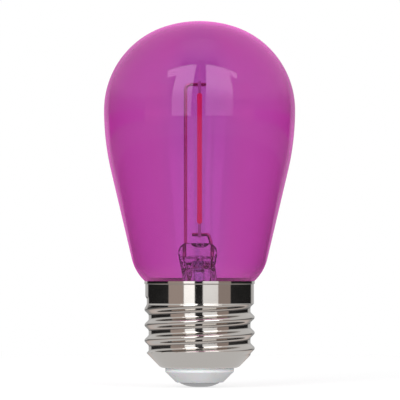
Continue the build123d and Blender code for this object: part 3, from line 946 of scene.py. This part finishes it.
# %% Aim by direction
world = bpy.data.worlds.new("studio")
world.use_nodes = True
world.node_tree.nodes.clear()
sky = Signal(world.node_tree)
x, y, z = sky.node("ShaderNodeTexCoord").out("Generated").axes()
nearly_none = 0.001
ahead = (y * -1.0).maths("MAXIMUM", nearly_none)
across, up = x / ahead, z / ahead
side = x.maths("ARCTAN2", y * -1.0).maths("ABSOLUTE") * degrees(1)
height = z.maths("ARCSINE") * degrees(1)


def edge(value, place, soft):
    """0 below a place and 1 above it, with a soft edge."""
    return value.rise(place - soft, place + soft)


def band(value, low, high, soft):
    """1 between two values and 0 outside them, with soft edges."""
    return edge(value, low, soft) * (1 - edge(value, high, soft))


def brightest(*lights):
    """The strongest of several lights in each direction."""
    most = lights[0]
    for light in lights[1:]:
        most = most.maths("MAXIMUM", light)
    return most


print("directions take", len(world.node_tree.nodes), "nodes")

# %% Hang the panels
panel_foot, panel_head = -0.03, 1.65
full_light = 2.5


def panel(reach, inner, outer, wide, wide_foot, foot_light):
    """A soft panel, brightest above its foot, with a wider top. Each edge is a place and its lean."""
    past_inner = edge(reach - up * inner[1], inner[0], soft=0.02)
    body = 1 - edge(reach - up * outer[1], outer[0], soft=0.02)
    top = (1 - edge(reach - up * wide[1], wide[0], soft=0.03)) * edge(up, wide_foot, soft=0.02)
    shape = past_inner * band(up, panel_foot, panel_head, soft=0.01) * brightest(body, top)
    above_foot = up.rise(0.1, 0.7)
    return shape * (above_foot * (full_light - foot_light) + foot_light)


left_panel = panel(
    across * -1.0, inner=(0.18, -0.05), outer=(0.665, 0.02), wide=(0.6, 0.4), wide_foot=1.08, foot_light=1.4
)
right_panel = panel(
    across, inner=(0.12, 0.055), outer=(0.84, 0.135), wide=(0.76, 0.5), wide_foot=1.2, foot_light=0.95
)
panels = brightest(left_panel, right_panel)
print("panels end at", round(degrees(atan2(panel_head, 1))), "degrees above the horizon")

# %% Build the room round them
past_panels = side.rise(30, 42)
grey_walls = band(side, 34, 69, soft=1) * band(height, -4, 30, soft=2)
wall_light = 0.375 - 0.08 * x.rise(-0.1, 0.1)
low_light = 0.22 * height.rise(0.9, 3) + 0.38 * height.rise(4, 18)
ceiling = height.rise(50, 85)
ceiling_light = 0.95
table = 1 - height.rise(-3, -1.2)
table_light = 0.25
backdrop = side.rise(138, 146)
backdrop_light = 0.5
flag_light = 0.014
room = brightest(wall_light * grey_walls, low_light * past_panels, ceiling_light * ceiling)
room = brightest(room, table_light * table, backdrop_light * backdrop)
mirrored = brightest(panels, room) + flag_light
print("the room's light goes from", flag_light, "to", full_light)

# %% [markdown]
# ## What each ray sees
# Only mirror reflections see the panels and the room. What is seen straight or through the glass is plain
# white, a little cooler in a column straight behind the bulb, and matte surfaces get an even light.
# Reflections from inside the glass also see a light at the horizon, which keeps the flanks of the bulb
# clear. The metal must not see it, or the collar's dark bands would fade.

# %% Sort the rays
def ray_kinds(start):
    """A tree's Light Path, what is seen straight or through glass, and what a mirror shows."""
    light_path = start.node("ShaderNodeLightPath")
    straight = light_path.out("Is Camera Ray").maths("MAXIMUM", light_path.out("Is Transmission Ray"))
    bounced = light_path.out("Glossy Depth").maths("MINIMUM", 1.0)
    return light_path, straight, bounced


light_path, straight, bounced = ray_kinds(sky)
glossy = light_path.out("Is Glossy Ray").maths("MAXIMUM", straight)
in_glass = light_path.out("Transmission Depth").maths("MINIMUM", 1.0)
horizon = band(height, -2.2, 2.2, soft=1.2) * past_panels
horizon_light = 0.9
mirrored = brightest(mirrored, horizon_light * in_glass * horizon)
ambient = 0.64
strength = bounced * glossy * mirrored + (1 - bounced) * straight + (1 - glossy) * ambient

white = (1, 1, 1, 1)
cool_white = (0.85, 1.0, 1.0, 1)
warm_grey = (1.0, 0.82, 0.74, 1)
unlit = 1 - panels.maths("MINIMUM", 1.0)
warmth = bounced * glossy * unlit * brightest(grey_walls, ceiling)
off_axis = (x / y.maths("MAXIMUM", nearly_none)).maths("ABSOLUTE")
column_half, column_edge = 0.004, 0.028
column = (1 - off_axis.rise(column_half, column_edge)) * light_path.out("Is Transmission Ray")
tint = warmth.between(column.between(white, cool_white), warm_grey)
background = sky.node("ShaderNodeBackground", None, {"Color": tint, "Strength": strength})
output = world.node_tree.nodes.new("ShaderNodeOutputWorld")
world.node_tree.links.new(background.socket, output.inputs["Surface"])
bpy.context.scene.world = world
print("the studio has", len(world.node_tree.nodes), "nodes")

# %% [markdown]
# ## The floor
# The floor is matte and nearly white. Straight to the eye it gets the little light it still lacks to be as
# white as the backdrop, and the bulb's shadow stays on it. In the metal it would look too even, so mirror
# reflections see an image on it instead: a bright sheet of paper under the bulb, with a warm rim, on a
# darker table that is lighter along the middle.

# %% Paint the floor
floor_paint = bpy.data.materials.new("floor_paint")
floor_paint.use_nodes = True
floor_tree = floor_paint.node_tree
floor_tree.nodes.clear()
paint = Signal(floor_tree)
light_path, straight, bounced = ray_kinds(paint)
floor_lift = 0.65
matte = paint.node("ShaderNodeBsdfDiffuse", None, {"Color": (0.45, 0.45, 0.45, 1)})
lift = paint.node("ShaderNodeEmission", None, {"Color": white, "Strength": straight * floor_lift})
lifted = paint.node("ShaderNodeAddShader", None, {0: matte, 1: lift})

x, y = paint.node("ShaderNodeTexCoord").out("Object").axes()[:2]
from_bulb = (x**2 + y**2) ** 0.5
paper = 1 - from_bulb.rise(0.03, 0.07)
warm_rim = paper * from_bulb.rise(0.018, 0.034)
middle = 1 - x.maths("ABSOLUTE").rise(0.02, 0.09)
image_light = brightest(0.14 + 0.22 * middle, 0.6 * paper)
image_values = {"Color": warm_rim.between(white, (1.0, 0.88, 0.83, 1)), "Strength": image_light}
mirror_image = paint.node("ShaderNodeEmission", None, image_values)
seen = paint.node("ShaderNodeMixShader", None, {0: bounced, 1: lifted, 2: mirror_image})
output = floor_tree.nodes.new("ShaderNodeOutputMaterial")
floor_tree.links.new(seen.socket, output.inputs["Surface"])
print("the floor's paint has", len(floor_tree.nodes), "nodes")

# %% Lay the floor
floor_radius = 0.36
floor_level = -0.0001
floor_sides = 96
turns = [tau * step / floor_sides for step in range(floor_sides)]
rim = [(floor_radius * cos(turn), floor_radius * sin(turn), floor_level) for turn in turns]
floor_mesh = bpy.data.meshes.new("floor")
floor_mesh.from_pydata(rim, [], [list(range(floor_sides))])
floor_mesh.materials.append(floor_paint)
floor = added("floor", floor_mesh)
print("the floor is", 2 * floor_radius, "m across")

# %% [markdown]
# ## Lamps
# Two soft lamps in front give the insulator and the floor some direction. Mirrors and glass don't show
# them, because the panels are there for that.

# %% Set the lamps
lamp_aim = Vector((0, 0, 0.03))


def soft_lamp(name, place, size, power):
    """A square soft lamp that faces the bulb and that mirrors and glass don't show."""
    lamp = bpy.data.lights.new(name, "AREA")
    lamp.size = size
    lamp.energy = power
    holder = bpy.data.objects.new(name, lamp)
    holder.location = place
    aim = lamp_aim - Vector(place)
    holder.rotation_euler = aim.to_track_quat("-Z", "Y").to_euler()
    holder.visible_glossy = False
    holder.visible_transmission = False
    bpy.context.scene.collection.objects.link(holder)
    print(name, "has", power, "W")
    return holder


key_lamp = soft_lamp("key_lamp", (-0.4, -0.8, 0.35), size=0.5, power=5.0)
fill_lamp = soft_lamp("fill_lamp", (0.5, -0.7, 0.3), size=0.6, power=2.8)

# %% [markdown]
# ## The camera
# The bulb is seen from the front and from far away, about level with the shell's rim. The frame is as wide
# as 400 pixels of the measured scale, and the aim is at the middle of the picture.

# %% Set the camera
frame_width = 0.0941
sensor_width = 36.0
camera_x = 0.0001
camera_distance = 0.8
camera_height = 0.025
aim_height = 0.0439
camera_data = bpy.data.cameras.new("camera")
camera = bpy.data.objects.new("camera", camera_data)
bpy.context.scene.collection.objects.link(camera)
camera.location = (camera_x, -camera_distance, camera_height)
aim = Vector((camera_x, 0, aim_height)) - camera.location
camera.rotation_euler = aim.to_track_quat("-Z", "Y").to_euler()
camera_data.sensor_width = sensor_width
camera_data.lens = sensor_width * aim.length / frame_width
bpy.context.scene.camera = camera
bpy.context.scene.view_settings.view_transform = "Standard"
print("camera lens:", round(camera_data.lens), "mm")
